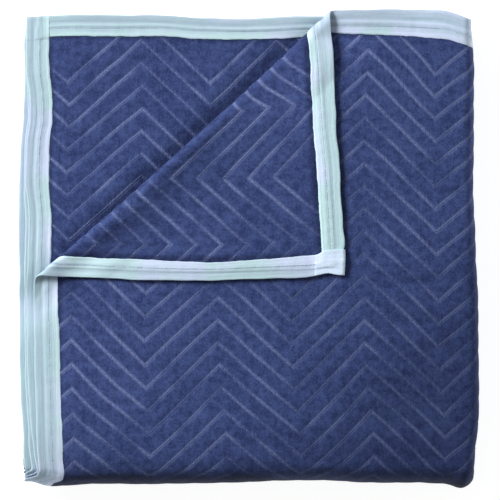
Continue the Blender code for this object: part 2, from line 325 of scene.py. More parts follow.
# The turned corner's free edges don't lie quite flat: how far they lift, in millimetres, and
# from where to where (right of a place, or below one)
edgeLift = {
    "right": (4.2, 0.040, 0.085),
    "rightLow": (0.30, -0.020, 0.080),  # the share of it left at the tip, and from where it grows
    "rightTop": (0.235, 0.180),
    "lower": (3.0, 0.012, -0.022),
    "fromLeft": (-0.170, -0.120),
    "above": (0.001, 0.005),  # only what lies this far above the stack
}
# The stack sinks beside the roll: a place on the crease and its heading, then each trough's
# distance from it towards the upper left, half width, depth and the share of the crease it runs
rollTroughs = {
    "place": (-151.6, 23.2),
    "heading": 42.2,
    "length": 250,
    "fade": 0.3,  # the share over which it ends
    "secondLayer": (-2.0, 13.0, 4.8, 9.9),
    "allLayers": (-17.0, 13.0, 2.8, 0.75),
}


def sunkBesideRoll(x, y, layer):
    way = math.radians(rollTroughs["heading"])
    offX, offY = x * 1000 - rollTroughs["place"][0], y * 1000 - rollTroughs["place"][1]
    beside = offY * math.cos(way) - offX * math.sin(way)
    along = (offX * math.cos(way) + offY * math.sin(way)) / rollTroughs["length"]
    sunk = 0
    for name, layers in (("secondLayer", layer < stackHeight - fold["thickness"]), ("allLayers", True)):
        away, halfWidth, depth, share = rollTroughs[name]
        near = np.exp(-(((beside - away) / halfWidth) ** 2))
        near = near * smooth((share - along) / rollTroughs["fade"])
        sunk = sunk + depth / 1000 * near * layers
    return sunk


def edgesLifted(x, y, layer):
    amount, begin, end = edgeLift["right"]
    low, lowBegin, lowEnd = edgeLift["rightLow"]
    right = amount * ramp(x, begin, end) * (low + (1 - low) * ramp(y, lowBegin, lowEnd))
    right = right * ramp(y, *edgeLift["rightTop"])
    amount, begin, end = edgeLift["lower"]
    lower = amount * ramp(y, begin, end) * ramp(x, *edgeLift["fromLeft"])
    return np.maximum(right, lower) / 1000 * ramp(layer - stackHeight, *edgeLift["above"])


def creased(x, y, up, layer):
    up = up + edgesLifted(x, y, layer)
    felt = np.clip(up / stackHeight, 0, 1) ** feltBelow
    up = up - sunkBesideRoll(x, y, layer) * felt
    for placeX, placeY, heading, halfLength, halfWidth, depth in creases:
        way = math.radians(heading)
        offX, offY = x * 1000 - placeX, y * 1000 - placeY
        along = offX * math.cos(way) + offY * math.sin(way)
        beside = offY * math.cos(way) - offX * math.sin(way)
        near = np.exp(-((along / halfLength) ** 2) - (beside / halfWidth) ** 2)
        up = up - depth / 1000 * near * felt
    return up


def turnedPlaces(flatAcross, flatDown, w):
    across, down, up = halfFolded(flatAcross, flatDown, w)
    return cornerTurned(flatAcross, flatDown, across, down, up)


def placed(flat):
    across, down, up = turnedPlaces(flat[:, 0], -flat[:, 1], flat[:, 2])
    middle = np.full(len(flat), fold["thickness"] / 2)
    layer = turnedPlaces(flat[:, 0], -flat[:, 1], middle)[2]  # the height of the layer's own middle
    across, down, up = handled(across, down, up, layer)
    up = settled(across, down, up)
    x, y = across - fold["middleAcross"], fold["middleDown"] - down
    return np.stack([x, y, creased(x, y, up, layer)], axis=1)


def wave(places, length, start=0.0):  # a wander that never quite repeats
    turn = 2 * math.pi * places / length + start
    return (np.sin(turn) + 0.6 * np.sin(turn * 1.71 + 2.1) + 0.4 * np.sin(turn * 2.63 + 4.3)) / 2


# The zigzag quilting. Each turn of the zigzag is a column on the flat blanket, and each
# stitched line runs three line spacings down between one column and the next
quilt = {
    "spacing": 0.02295,
    "reach": 3,  # spacings from peak to valley
    "turns": (-1, 0, 1, 2, 3, 4, 5, 6.3333, 11.3333, 11.6667, 19.6667, 21, 22, 23, 24),
    "columns": (-0.038, 0.0363, 0.1107, 0.1852, 0.2597, 0.3333, 0.4078, 0.5069, 0.9109,
                0.9181, 1.5560, 1.6468, 1.7148, 1.7885, 1.8622),
    "starts": (0.0141, 0.0158, 0.0141, 0.0158, 0.0141, 0.0158, 0.0141, 0.0150, 0.0185,
               0.0185, 0.0240, 0.0220, 0.0255, 0.0222, 0.0240),
    "firstTurn": -2 / 3,
    "lastTurn": 23 + 2 / 3,
    "firstRow": -1,
    "lastRow": 88,
    "firstLine": -1,  # the top line of stitches; the cloth above it is plain
    "edge": 0.0116,  # where the pad ends, inside the tape
    "grooveHalf": 0.00092,  # half the pad's thickness on a stitched line
    "puffHalf": 0.00205,  # and between the lines
    "puffShape": 0.66,
    # the lines slide to the right towards the lower fold: how far, from and to where down, and
    # where across that begins and ends
    "slide": (0.0105, 0.33, 0.48),
    "slideAcross": ((0.00, 0.20), (0.80, 0.60)),
    # small wavers across and down, by and how often, and where they end at the edges
    "waverAcross": (0.0007, 0.131),
    "waverDown": (0.0006, 0.087),
    "waverEnds": (0.015, 0.055),
    # how far the lines wander down between the turns, and how far those of the turned corner
    # are pulled up at places above its lower edge, in millimetres
    "rowWander": (
        (0, 0), (1, -1.6), (1.7, -2.4), (2, -2.2), (2.7, 0.4), (3, 1.6), (3.3, 1.8), (3.7, 0),
        (4, -1.8), (4.3, -0.8), (4.7, 1.2), (5, 3.2), (6, 3.2), (6.3333, 0),
    ),
    "wanderDown": ((0.24, 0.30), (0.60, 0.55)),  # where down the lines wander so
    "wanderRight": (0.33, 0.36, 0.5),  # and by what share above there, at the right
    "cornerRise": ((36.3, 2.4), (110.7, 0.8), (125, 2.6), (185.2, 5.2), (260, 5.2)),
    "cornerSkew": (-0.040, 0.10),  # those of the corner are skewed about one column
    "cornerFrom": (0.01, 0.06),  # past the crease, from and to where this grows
    "columnWide": 0.0743,
    "slope": 0.735,  # a column's width as a share of the stitched line in it
    "pucker": (0.00012, 0.0137),  # gathers on the lines, by and how often
    "swell": (0.00010, 0.053),  # and between them
    "rim": (0.0003, 0.0048),  # past the tape, where it begins to swell and is at its full
}
lineInTurn = quilt["columnWide"] / quilt["slope"]


def zigzag(turn):
    return np.abs((turn + 1) % 2 - 1)


def flatPlace(turn, row):  # where a point of the quilting lies on the flat blanket
    u = np.interp(turn, quilt["turns"], quilt["columns"])
    v = quilt["spacing"] * row + np.interp(turn, quilt["turns"], quilt["starts"])
    slide, begin, end = quilt["slide"]
    bent = slide * ramp(v, begin, end)
    for begin, end in quilt["slideAcross"]:
        bent = bent * ramp(u, begin, end)
    amount, length = quilt["waverAcross"]
    bent = bent + amount * wave(v, length, 0.7) * ramp(u, 0, 0.05) * ramp(u, 1.80, 1.75)
    onCorner = np.where(onTopLayer(u, v), ramp(pastOnFlat(u, v), *quilt["cornerFrom"]), 0)
    bent = bent + onCorner * straightTable(quilt["cornerRise"], u * 1000) / 1000
    amount, length = quilt["waverDown"]
    lowered = amount * wave(u + 0.3 * v, length, 1.9)
    skew, middle = quilt["cornerSkew"]
    lowered = lowered + skew * (u - middle) * onCorner
    upper, lower = quilt["wanderDown"]
    begin, end, share = quilt["wanderRight"]
    wander = np.maximum(ramp(v, *upper), share * ramp(u, begin, end)) * ramp(v, *lower)
    lowered = lowered + wander * straightTable(quilt["rowWander"], turn) / 1000
    fromEnd = np.minimum(v, fold["length"] - v)
    v = v + lowered * ramp(fromEnd, *quilt["waverEnds"])
    u = u + bent
    u = np.clip(u, quilt["edge"], fold["width"] - quilt["edge"])
    v = np.clip(v, quilt["edge"], fold["length"] - quilt["edge"])
    return u, v


# The binding tape, a strip folded over the pad's edge and stitched through
tape = {
    "sideWidth": 0.0233,
    "endWidth": 0.0217,
    "ply": 0.0005,
    "gap": 0.00033,
    "stitched": 0.0134,  # the row of stitches, in from the outer edge
    "keptTo": 14.2,  # past this, in millimetres, its section widens with it
    "overPad": (0.010, 0.014),  # where it begins to lie over the pad
    "inner": (0.011, 0.00125),  # its inner surface lies further in than this, and lower
    "core": 0.0003,  # what is no higher than this stays plain
    "pucker": (0.00030, 0.0125, 0.0034),  # gathers along the stitches: by, how often, half width
    "ripples": ((0.00012, 0.037), (0.00010, 0.0083)),
    "waver": ((0.0005, 0.083), (0.0003, 0.019)),  # of the inner edge
    "waverEnds": (0.022, 0.042),
    "fray": (0.0004, 0.061),  # of the outer edge
    "frayReach": 0.012,
    "lapRise": (0.00024, 0.0004),  # how much higher its turned-in ends stand, and how softly
    "lapOver": (0.00045, 0.0020, 0.0045),  # and where it laps over the end tape
    "endSquare": (0.0224, 0.0020),  # at its ends the inner edge stands square, from, and this high
    "leastRise": 0.00062,  # and the rest is flattened, at most to this
    "cornerFill": (0.00026, 0.0019),  # how much shallower its groove is on the turned corner, and how wide
    "cornerEnds": (0.34, 0.30),
    "along": 0.0030,
    "lapStep": 0.0005,  # closer, where it laps
}


def puffed(turn, row, u, v):  # half the pad's thickness
    level = np.maximum(row - quilt["reach"] * zigzag(turn), quilt["firstLine"] - 0.5)
    between = np.abs(np.sin(math.pi * level))
    half = quilt["grooveHalf"] + (quilt["puffHalf"] - quilt["grooveHalf"]) * between ** quilt["puffShape"]
    depth, length = quilt["pucker"]
    pucker = 0.5 + 0.5 * wave(turn * quilt["columnWide"] + 0.0068 * level, length, level * 1.3)
    half = half - depth * pucker * (1 - between)
    depth, length = quilt["swell"]
    half = half - depth * (0.5 + 0.5 * wave(u * 1.3 - v, length)) * between
    rim = fold["thickness"] / 2 - tape["ply"] - tape["gap"]
    begin, full = quilt["rim"]
    swollen = np.clip((pastTape(u, v) - begin) / (full - begin), 0, 1)
    return rim + (half - rim) * np.sin(swollen * math.pi / 2)


def pastTape(u, v):  # how far in from the nearest tape's inner edge
    pastSide = np.minimum(u, fold["width"] - u) - tape["sideWidth"]
    pastEnd = np.minimum(v, fold["length"] - v) - tape["endWidth"]
    return np.minimum(pastSide, pastEnd)


# The parts of the cloth that show are finely made, and the hidden layers coarsely
finest = 8  # steps in each cell of the pad
fine = {
    "across": 0.500,  # the face shows from its first corner to here
    "down": 0.560,
    "pastCrease": 0.030,
    "secondAcross": 0.335,  # the triangle of the second layer that shows
    "secondDown": 0.315,
    "floorDown": (0.530, 1.010),  # the part that lies on the floor
    "floorSide": 0.42,  # its right side shows, from here
    "floorSteps": ((2, 2), (8, 4)),  # steps in each cell across and down, before it and past it
}
# The bends across and down: the share of the way to each, half its width and the steps in each cell
bends = {
    "across": ((1 / 2, 0.006, 8), (1 / 4, 0.031, 4), (3 / 4, 0.031, 4)),
    "down": ((1 / 2, 0.021, 4), (1 / 4, 0.050, 4), (3 / 4, 0.050, 4)),
}


def shownAbove(u, v):  # the face side, where it is the outside of the folded stack
    turned = onTopLayer(u, v) & (pastOnFlat(u, v) > rollArc + fine["pastCrease"])
    return (u < fine["across"]) & (v < fine["down"]) & ~turned


def shownBelow(u, v):  # the back side: the turned corner, and the second layer beside it
    flap = onTopLayer(u, v) & (pastOnFlat(u, v) > -fine["pastCrease"])
    second = (fold["width"] - u) / fine["secondAcross"] + v / fine["secondDown"] < 1
    return flap | second


def beneath(u, v):  # the face side again, where the stack lies on the floor
    begin, end = fine["floorDown"]
    return (u < fine["across"]) & (v > begin) & (v < end)


def cellDetail():  # how many steps each cell of the pad's two faces has, across and down
    across = round((quilt["lastTurn"] - quilt["firstTurn"]) * 3)
    down = quilt["lastRow"] - quilt["firstRow"]
    middles = np.meshgrid(np.arange(across) + 0.5, np.arange(down) + 0.5, indexing="ij")
    u, v = flatPlace(quilt["firstTurn"] + middles[0] / 3, quilt["firstRow"] + middles[1])
    bendsAcross = np.ones_like(u, int)
    bendsDown = np.ones_like(u, int)
    for share, near, count in bends["across"]:
        bendsAcross[np.abs(u - share * fold["width"]) < near] = count
    for share, near, count in bends["down"]:
        bendsDown[np.abs(v - share * fold["length"]) < near] = count
    details = []
    for shown in (shownAbove(u, v), shownBelow(u, v)):
        nAcross, nDown = bendsAcross.copy(), bendsDown.copy()
        if not details:
            low = beneath(u, v)
            floorSteps = np.array(fine["floorSteps"])[(u[low] > fine["floorSide"]).astype(int)]
            nAcross[low] = np.maximum(nAcross[low], floorSteps[:, 0])
            nDown[low] = np.maximum(nDown[low], floorSteps[:, 1])
        nAcross[shown] = finest
        nDown[shown] = finest
        details.append((nAcross, nDown))
    for n in (0, 1):  # both sides share their detail along the rim
        most = np.maximum(details[0][n], details[1][n])
        for side in (0, 1):
            for rim in ((0, slice(None)), (-1, slice(None)), (slice(None), 0), (slice(None), -1)):
                details[side][n][rim] = most[rim]
    return details


def ringOf(i0, i1, j0, j1, below, right, above, left):
    ring = [(i, j0) for i in range(i0, i1, below)]
    ring += [(i1, j) for j in range(j0, j1, right)]
    ring += [(i, j1) for i in range(i1, i0, -above)]
    ring += [(i0, j) for j in range(j1, j0, -left)]
    return ring


def cellRings(cell, row, stepAcross, stepDown):  # the faces of one cell, meeting its neighbours'
    cells, rows = stepAcross.shape
    wide, deep = int(stepAcross[cell, row]), int(stepDown[cell, row])
    below = min(wide, int(stepAcross[cell, row - 1])) if row else wide
    above = min(wide, int(stepAcross[cell, row + 1])) if row < rows - 1 else wide
    left = min(deep, int(stepDown[cell - 1, row])) if cell else deep
    right = min(deep, int(stepDown[cell + 1, row])) if cell < cells - 1 else deep
    firstAcross, firstDown = cell * finest, row * finest
    falls = (cell // 3 + (cell % 3 >= 2)) % 2 == 1  # the way the stitched lines run here
    rings = []
    for i in range(firstAcross, firstAcross + finest, wide):
        for j in range(firstDown, firstDown + finest, deep):
            ring = ringOf(
                i, i + wide, j, j + deep,
                below if j == firstDown else wide,
                right if i + wide == firstAcross + finest else deep,
                above if j + deep == firstDown + finest else wide,
                left if i == firstAcross else deep,
            )
            if len(ring) > 4:
                rings.append(ring)
                continue
            a, b, c, d = ring
            rings += [[a, b, c], [a, c, d]] if falls else [[a, b, d], [b, c, d]]
    return rings


def padRings(nAcross, nDown):
    stepAcross, stepDown = finest // nAcross, finest // nDown
    rings = []
    for cell in range(nAcross.shape[0]):
        for row in range(nAcross.shape[1]):
            rings += cellRings(cell, row, stepAcross, stepDown)
    return rings


def buildPad():
    details = cellDetail()
    ids = {}
    faces = []
    for side in (0, 1):
        for ring in padRings(*details[side]):
            face = [ids.setdefault((side, i, j), len(ids)) for i, j in ring]
            faces.append(face if side == 0 else face[::-1])
    edges = {}
    for face in faces:
        for a, b in zip(face, face[1:] + face[:1]):
            edges[(a, b)] = True
    keys = list(ids)
    for a, b in edges:  # the rim closes the two sides
        if (b, a) not in edges and keys[a][0] == 0:
            faces.append([b, a, ids[(1, *keys[a][1:])], ids[(1, *keys[b][1:])]])
    side, i, j = np.array(keys).T
    turn = quilt["firstTurn"] + i / (3 * finest)
    row = quilt["firstRow"] + j / finest
    u, v = flatPlace(turn, row)
    half = puffed(turn, row, u, v)
    w = fold["thickness"] / 2 + np.where(side == 0, half, -half)
    data = bpy.data.meshes.new("quiltedPad")
    data.from_pydata(np.stack([u, -v, w], axis=1).tolist(), [], faces)
    addMap(data, "quilting", turn, row)
    addMap(data, "cloth", u, v)
    return finishFlat(data, "quiltedPad")


def addMap(data, name, first, second):  # a UV map from two numbers for each point
    corners = np.zeros(len(data.loops), int)
    data.loops.foreach_get("vertex_index", corners)
    spots = np.stack([first, second], axis=1)[corners]
    data.uv_layers.new(name=name).data.foreach_set("uv", spots.ravel())


def addObject(name, data):
    thing = bpy.data.objects.new(name, data)
    bpy.context.scene.collection.objects.link(thing)
    return thing


def finishFlat(data, name):  # merges, turns the faces outwards, then folds
    mesh = bmesh.new()
    mesh.from_mesh(data)
    bmesh.ops.remove_doubles(mesh, verts=mesh.verts, dist=1e-6)
    bmesh.ops.dissolve_degenerate(mesh, dist=1e-7, edges=mesh.edges)
    bmesh.ops.recalc_face_normals(mesh, faces=mesh.faces)
    mesh.to_mesh(data)
    mesh.free()
    flat = np.zeros(len(data.vertices) * 3)
    data.vertices.foreach_get("co", flat)
    data.vertices.foreach_set("co", placed(flat.reshape(-1, 3)).ravel())
    data.shade_smooth()
    data.update()
    return addObject(name, data)


pad = buildPad()
print("pad folded", len(pad.data.vertices), "vertices", len(pad.data.polygons), "faces")


# The tape's outer surface: in from its outer edge and up from its middle, in millimetres
tapeRise = (
    (0.0, 0.0), (0.15, 0.42), (0.7, 0.72), (1.9, 0.82), (3.4, 0.66), (5.0, 0.78), (6.6, 0.66),
    (7.8, 0.60), (8.8, 0.98), (9.8, 1.52), (10.6, 1.74), (11.6, 1.74), (12.6, 1.54), (13.4, 1.38),
    (14.2, 1.50), (15.2, 1.80), (16.6, 1.96), (18.4, 2.00), (20.2, 2.04), (21.6, 2.02),
    (22.6, 1.88), (23.1, 1.68), (23.3, 1.42),
)
tapeInside = ((22.8, 1.20), (15.4, 1.20), (13.4, 0.94), (12.2, 1.12), (11.2, 0.80))


def tapeProfile(width):  # the closed cross-section, widened or narrowed past the stitches
    kept = tape["keptTo"]
    stretch = (width * 1000 - kept) / (tapeRise[-1][0] - kept)
    upper = []
    for inward, rise in (*tapeRise, *tapeInside):
        inward = min(inward, kept) + max(inward - kept, 0) * stretch
        upper.append((inward / 1000, rise / 1000))
    lower = [(inward, -rise) for inward, rise in upper[:0:-1]]
    return upper + lower


def tapeSteps(length, crease, closeTo, lap):
    places = list(np.arange(0, length, tape["along"])) + [length]
    places += list(np.arange(crease - closeTo, crease + closeTo, closeTo / 5))
    if lap:
        near = [lap + k * tape["lapStep"] for k in range(-2, 3)]
        places += near + [length - place for place in near]
    return np.unique(np.round(places, 6))


def outerRise(inward):  # how high the tape's outer surface stands
    return np.maximum(straightTable(tapeRise, inward * 1000) / 1000, tape["leastRise"])


def nearStitches(inward, halfWidth):
    return np.exp(-(((inward - tape["stitched"]) / halfWidth) ** 2))


def endShaped(inward, fromEnd, rise):  # square where the end tape meets it, flat where no pad fills it
    begin, high = tape["endSquare"]
    innerFrom, innerRise = tape["inner"]
    inside = (np.abs(rise) < innerRise) & (inward > innerFrom)
    square = (inward > begin) & ~inside & (fromEnd < tape["endWidth"])
    rise = np.where(square, np.sign(rise) * high, rise)
    filled = outerRise(np.minimum(inward, tape["waverEnds"][0]))
    flattened = np.minimum(outerRise(fromEnd), filled) / filled
    return rise * flattened * np.where(inside, flattened, 1)


def tapeSurface(row, inward, run, rise):  # ripples, puckers along the stitches, an uneven edge
    width, seed = row["width"], row["seed"]
    over = ramp(inward, *tape["overPad"])
    amount, length, halfWidth = tape["pucker"]
    ripple = amount * wave(run + 0.2 * inward, length, seed) * nearStitches(inward, halfWidth)
    (amount, length), (amountOver, lengthOver) = tape["ripples"]
    ripple = ripple + amount * wave(run, length, seed + 2)
    ripple = ripple + amountOver * wave(run - 0.4 * inward, lengthOver, seed + 3) * over
    fromEnd = np.minimum(run, row["length"] - run)
    lapped = 0
    if row["lap"]:  # the corners, where it is turned in and thicker
        amount, soft = tape["lapRise"]
        lapped = amount * ramp(fromEnd - row["lap"], soft, -soft)
        rise = endShaped(inward, fromEnd, rise)
    amount, halfWidth = tape["cornerFill"]
    fill = amount * nearStitches(inward, halfWidth) * ramp(row["start"] + run, *tape["cornerEnds"])
    edge = sum(amount * wave(run, length, seed + k) for k, (amount, length) in enumerate(tape["waver"]))
    edge = edge * ramp(fromEnd, *tape["waverEnds"])
    edge = edge + table(row["innerMoves"], run * 1000) / 1000
    amount, begin, end = tape["lapOver"]
    lapped = lapped + amount * ramp(edge, begin, end) * over
    rise = rise + np.sign(rise) * (ripple + lapped + fill) * (np.abs(rise) > tape["core"])
    inward = inward + over * edge * (inward / width) ** 2
    amount, length = tape["fray"]
    frayed = amount * wave(run, length, seed + 4) + table(row["outerMoves"], run * 1000) / 1000
    frayed = frayed * (1 - inward / tape["frayReach"]).clip(0, 1)
    return inward + (1 - over) * frayed, rise


def buildTape(row):
    profile = np.array(tapeProfile(row["width"]))
    along = tapeSteps(row["length"], row["crease"], row["closeTo"], row["lap"])
    count = len(profile)
    inward = np.tile(profile[:, 0], len(along))
    run = np.repeat(along, count)
    inward, rise = tapeSurface(row, inward, run, np.tile(profile[:, 1], len(along)))
    flat = row["toFlat"](inward, row["start"] + run, fold["thickness"] / 2 + rise)
    faces = []
    for k in range(len(along) - 1):
        for n in range(count):
            m = (n + 1) % count
            faces.append([k * count + n, k * count + m, (k + 1) * count + m, (k + 1) * count + n])
    last = (len(along) - 1) * count
    faces += [list(range(count - 1, -1, -1)), list(range(last, last + count))]
    data = bpy.data.meshes.new(row["name"])
    data.from_pydata(flat.tolist(), [], faces)
    share = profile[:, 0] / row["width"]
    share = np.where(profile[:, 1] < 0, 2 - share, share)  # past 1 on the other face
    addMap(data, "tape", np.tile(share, len(along)), row["start"] + run)
    return finishFlat(data, row["name"])


def sideOne(inward, run, up):
    return np.stack([inward, -run, up], axis=1)


def sideTwo(inward, run, up):
    return np.stack([fold["width"] - inward, -run, up], axis=1)


def endOne(inward, run, up):
    return np.stack([run, -inward, up], axis=1)


def endTwo(inward, run, up):
    return np.stack([run, inward - fold["length"], up], axis=1)


still = ((0, 0), (1000, 0))


def tapeRow(name, end, closeTo, lap, toFlat, seed, innerMoves=still, outerMoves=still):
    width, start = (tape["endWidth"], butt) if end else (tape["sideWidth"], 0)
    whole = fold["width" if end else "length"]
    return {"name": name, "width": width, "start": start, "length": whole - 2 * start,
            "crease": whole / 2 - start, "closeTo": closeTo, "lap": lap, "toFlat": toFlat, "seed": seed,
            "innerMoves": innerMoves, "outerMoves": outerMoves}


# How far each tape's inner and outer edges wander in, at places along it, in millimetres: the
# first is widest over the corner of the turned part, and narrow along its lower edge
butt = tape["sideWidth"] + 0.00012
tapeRows = {
    "side_binding_1": tapeRow(
        "sideTapeOne", False, 0.011, 0.0265, sideOne, 0.4,
        ((0, 5.2), (17, 5.6), (20, 4.9), (23, 2.4), (26, 1.4), (30, 1.1), (40, 0.5), (56, -0.5),
         (85, -2.6), (117, -3.8), (150, -2.6), (185, -1.8), (240, -2.2), (280, -0.8), (1000, 0)),
        ((0, 0.2), (8, 1.6), (15, 3.4), (22, 2.0), (32, 0.2), (60, 0), (1000, 0)),
    ),
    "side_binding_2": tapeRow("sideTapeTwo", False, 0.011, 0.0240, sideTwo, 2.3),
    "end_binding_1": tapeRow(
        "endTapeOne", True, 0.005, 0, endOne, 3.9,
        ((0, -0.6), (130, -0.8), (160, -1.0), (190, -1.4), (215, -2.6), (240, -2.4), (290, 0), (1000, 0)),
        ((0, 1.2), (5, 1.0), (8, 0.4), (30, 0.9), (50, 0.7), (72, 0.9), (92, 0.2), (112, 0), (132, 0.8),
         (155, 0), (1000, 0)),
    ),
    "end_binding_2": tapeRow("endTapeTwo", True, 0.005, 0, endTwo, 5.2),
}
tapes = {node: buildTape(row) for node, row in tapeRows.items()}
print("tapes folded", [len(o.data.vertices) for o in tapes.values()])

# Stitches, one small bar of thread each
stitch = {
    "length": 0.0057,
    "pitch": 0.0059,
    "halfWidth": 0.00095,
    "height": 0.00013,
    "lift": 0.00009,
    "upBy": 0.0011,  # a point this far off the cloth tells which way is up
    "tapeUpBy": 0.001,
    "tapeLength": 0.0031,
    "tapePitch": 0.0036,
    "tapeHalfWidth": 0.00030,
    "tapeLift": 0.00008,
    "tapeEnds": 0.002,  # how far from the ends of a plain tape they stop
    "shape": ((0.0, 0.75), (0.15, 1.0), (0.85, 1.0), (1.0, 0.75)),  # along it, its size
    "sunk": 0.65,
    "stagger": 0.377,  # from one line to the next
    "shortest": 0.4,
    "shownAcross": 0.480,  # the face's lines are sewn in thread up to here
    "shownDown": 1.005,
    "offTape": 0.0008,
}


def unit(vectors):
    return vectors / np.linalg.norm(vectors, axis=1, keepdims=True)


def stitchBars(name, starts, ends, ups, halfWidth, height):
    along = ends - starts
    beside = unit(np.cross(ups, along))
    rings = []
    for share, size in stitch["shape"]:
        middle = starts + along * share
        lift = ups * height * (size - stitch["sunk"])
        for side, rise in ((1, 0.0), (0, 1.0), (-1, 0.0), (0, -1.0)):
            rings.append(middle + lift + beside * side * halfWidth * size + ups * rise * height * size)
    points = np.stack(rings, axis=1)  # stitch, 16 places, xyz
    count = len(points)
    pattern = []
    for k in range(3):
        for n in range(4):
            m = (n + 1) % 4
            pattern.append((k * 4 + n, k * 4 + m, k * 4 + 4 + m, k * 4 + 4 + n))
    pattern += [(3, 2, 1, 0), (12, 13, 14, 15)]
    faces = (np.array(pattern)[None] + 16 * np.arange(count)[:, None, None]).reshape(-1, 4)
    data = bpy.data.meshes.new(name)
    data.from_pydata(points.reshape(-1, 3).tolist(), [], faces.tolist())
    data.shade_smooth()
    return addObject(name, data)


def surfaceSpots(turn, row, side, lift):
    u, v = flatPlace(turn, row)
    half = puffed(turn, row, u, v)
    w = fold["thickness"] / 2 + side * (half + lift)
    return u, v, np.stack([u, -v, w], axis=1)


def quiltStitches():
    step = stitch["pitch"] / lineInTurn  # the share of a turn that one stitch takes
    turns = np.arange(quilt["firstTurn"], quilt["lastTurn"], step)
    lines = np.arange(quilt["firstLine"], quilt["lastRow"])
    turn, line = np.meshgrid(turns, lines, indexing="ij")
    turn = (turn + (line * stitch["stagger"] % 1) * step).ravel()
    line = line.ravel()
    tail = turn + step * stitch["length"] / stitch["pitch"]
    cut = np.floor(tail)
    crosses = cut > np.floor(turn)  # a stitch doesn't span a turn of the zigzag
    tail = np.where(crosses & (cut - turn > step * stitch["shortest"]), cut, tail)
    turn = np.where(crosses & (tail > cut), cut, turn)
    starts, ends, ups = [], [], []
    for side, shown in ((1, shownStitched), (-1, shownBelow)):
        row, tailRow = (line + quilt["reach"] * zigzag(t) for t in (turn, tail))
        u, v, flat = surfaceSpots(turn, row, side, stitch["lift"])
        high = surfaceSpots(turn, row, side, stitch["upBy"])[2]
        tailU, tailV, tailFlat = surfaceSpots(tail, tailRow, side, stitch["lift"])
        clear = np.minimum(pastTape(u, v), pastTape(tailU, tailV)) > stitch["offTape"]
        sewn = shown(u, v) & clear
        starts.append(placed(flat[sewn]))
        ends.append(placed(tailFlat[sewn]))
        ups.append(unit(placed(high[sewn]) - starts[-1]))
    return np.concatenate(starts), np.concatenate(ends), np.concatenate(ups)


def shownStitched(u, v):
    turned = onTopLayer(u, v) & (pastOnFlat(u, v) > rollArc)
    return (u < stitch["shownAcross"]) & (v < stitch["shownDown"]) & ~turned


def tapeStitches():  # one row on each face of each tape
    starts, ends, ups = [], [], []
    for row in tapeRows.values():
        margin = max(stitch["tapeEnds"], row["lap"])  # the corners are folded over their stitches
        runs = np.arange(margin, row["length"] - margin - stitch["tapePitch"], stitch["tapePitch"])
        inward = np.full(len(runs), tape["stitched"])
        groove = straightTable(tapeRise, tape["stitched"] * 1000) / 1000
        for side in (1, -1):
            spots = []
            for run, lift in ((runs, 0), (runs + stitch["tapeLength"], 0), (runs, stitch["tapeUpBy"])):
                placeIn, rise = tapeSurface(row, inward, run, np.full(len(runs), groove * side))
                rise = rise + side * (stitch["tapeLift"] + lift)
                up = fold["thickness"] / 2 + rise
                spots.append(placed(row["toFlat"](placeIn, row["start"] + run, up)))
            starts.append(spots[0])
            ends.append(spots[1])
            ups.append(unit(spots[2] - spots[0]))
    return np.concatenate(starts), np.concatenate(ends), np.concatenate(ups)


def markFalling(piece, starts, ends):  # which stitches run down to the right, for their painted shade
    run = ends - starts
    falls = (run[:, 0] * run[:, 1] < 0).astype(float)
    marks = np.repeat(falls, len(piece.data.vertices) // len(falls))
    addMap(piece.data, "falling", marks, marks)


starts, ends, ups = quiltStitches()
quiltThread = stitchBars("quiltThread", starts, ends, ups, stitch["halfWidth"], stitch["height"])
markFalling(quiltThread, starts, ends)
print("quilting stitched", len(starts), "stitches")
starts, ends, ups = tapeStitches()
tapeThread = stitchBars("tapeThread", starts, ends, ups, stitch["tapeHalfWidth"], stitch["height"])
print("tapes stitched", len(starts), "stitches")


# Materials
def newMaterial(name):
    material = bpy.data.materials.new(name)
    material.use_nodes = True
    return material, material.node_tree.nodes["Principled BSDF"]


def addInput(tree, node, key, value):
    if isinstance(value, bpy.types.NodeSocket):
        tree.links.new(value, node.inputs[key])
    else:
        node.inputs[key].default_value = value


def addNode(tree, kind, inputs, **settings):
    node = tree.nodes.new(kind)
    for key, value in settings.items():
        setattr(node, key, value)
    for key, value in inputs.items():
        addInput(tree, node, key, value)
    return node


def sums(tree, operation, *values):
    return addNode(tree, "ShaderNodeMath", dict(enumerate(values)), operation=operation).outputs[0]


def times(tree, *factors):
    product = factors[0]
    for factor in factors[1:]:
        product = sums(tree, "MULTIPLY", product, factor)
    return product


def plus(tree, base, mask, amount):  # so much more where the mask is 1
    return sums(tree, "MULTIPLY_ADD", mask, amount, base)


def mottled(tree, base, noise, amount):
    return plus(tree, base, sums(tree, "SUBTRACT", noise, 0.5), amount)


def ranged(tree, value, low, high, first=0.0, last=1.0, kind="SMOOTHSTEP"):
    inputs = {"Value": value, "From Min": low, "From Max": high, "To Min": first, "To Max": last}
    return addNode(tree, "ShaderNodeMapRange", inputs, interpolation_type=kind).outputs[0]


def within(tree, value, rise, fall):  # 1 between two soft edges
    return times(tree, ranged(tree, value, *rise), ranged(tree, value, *fall, 1.0, 0.0))


def mixed(tree, share, first, second, blend="MIX"):
    inputs = {0: share, 6: first, 7: second}
    return addNode(tree, "ShaderNodeMix", inputs, data_type="RGBA", blend_type=blend).outputs[2]


def noiseOf(tree, place, scale, detail, roughness=0.5):
    inputs = {"Vector": place, "Scale": scale, "Detail": detail, "Roughness": roughness}
    return addNode(tree, "ShaderNodeTexNoise", inputs).outputs["Fac"]


def xyzOf(tree, vector):
    return addNode(tree, "ShaderNodeSeparateXYZ", {0: vector}).outputs


def mapOf(tree, name):
    return xyzOf(tree, addNode(tree, "ShaderNodeUVMap", {}, uv_map=name).outputs[0])


def vectorOf(tree, first, second):
    return addNode(tree, "ShaderNodeCombineXYZ", {0: first, 1: second, 2: 0.0}).outputs[0]


def placeOf(tree):
    return addNode(tree, "ShaderNodeTexCoord", {}).outputs["Object"]


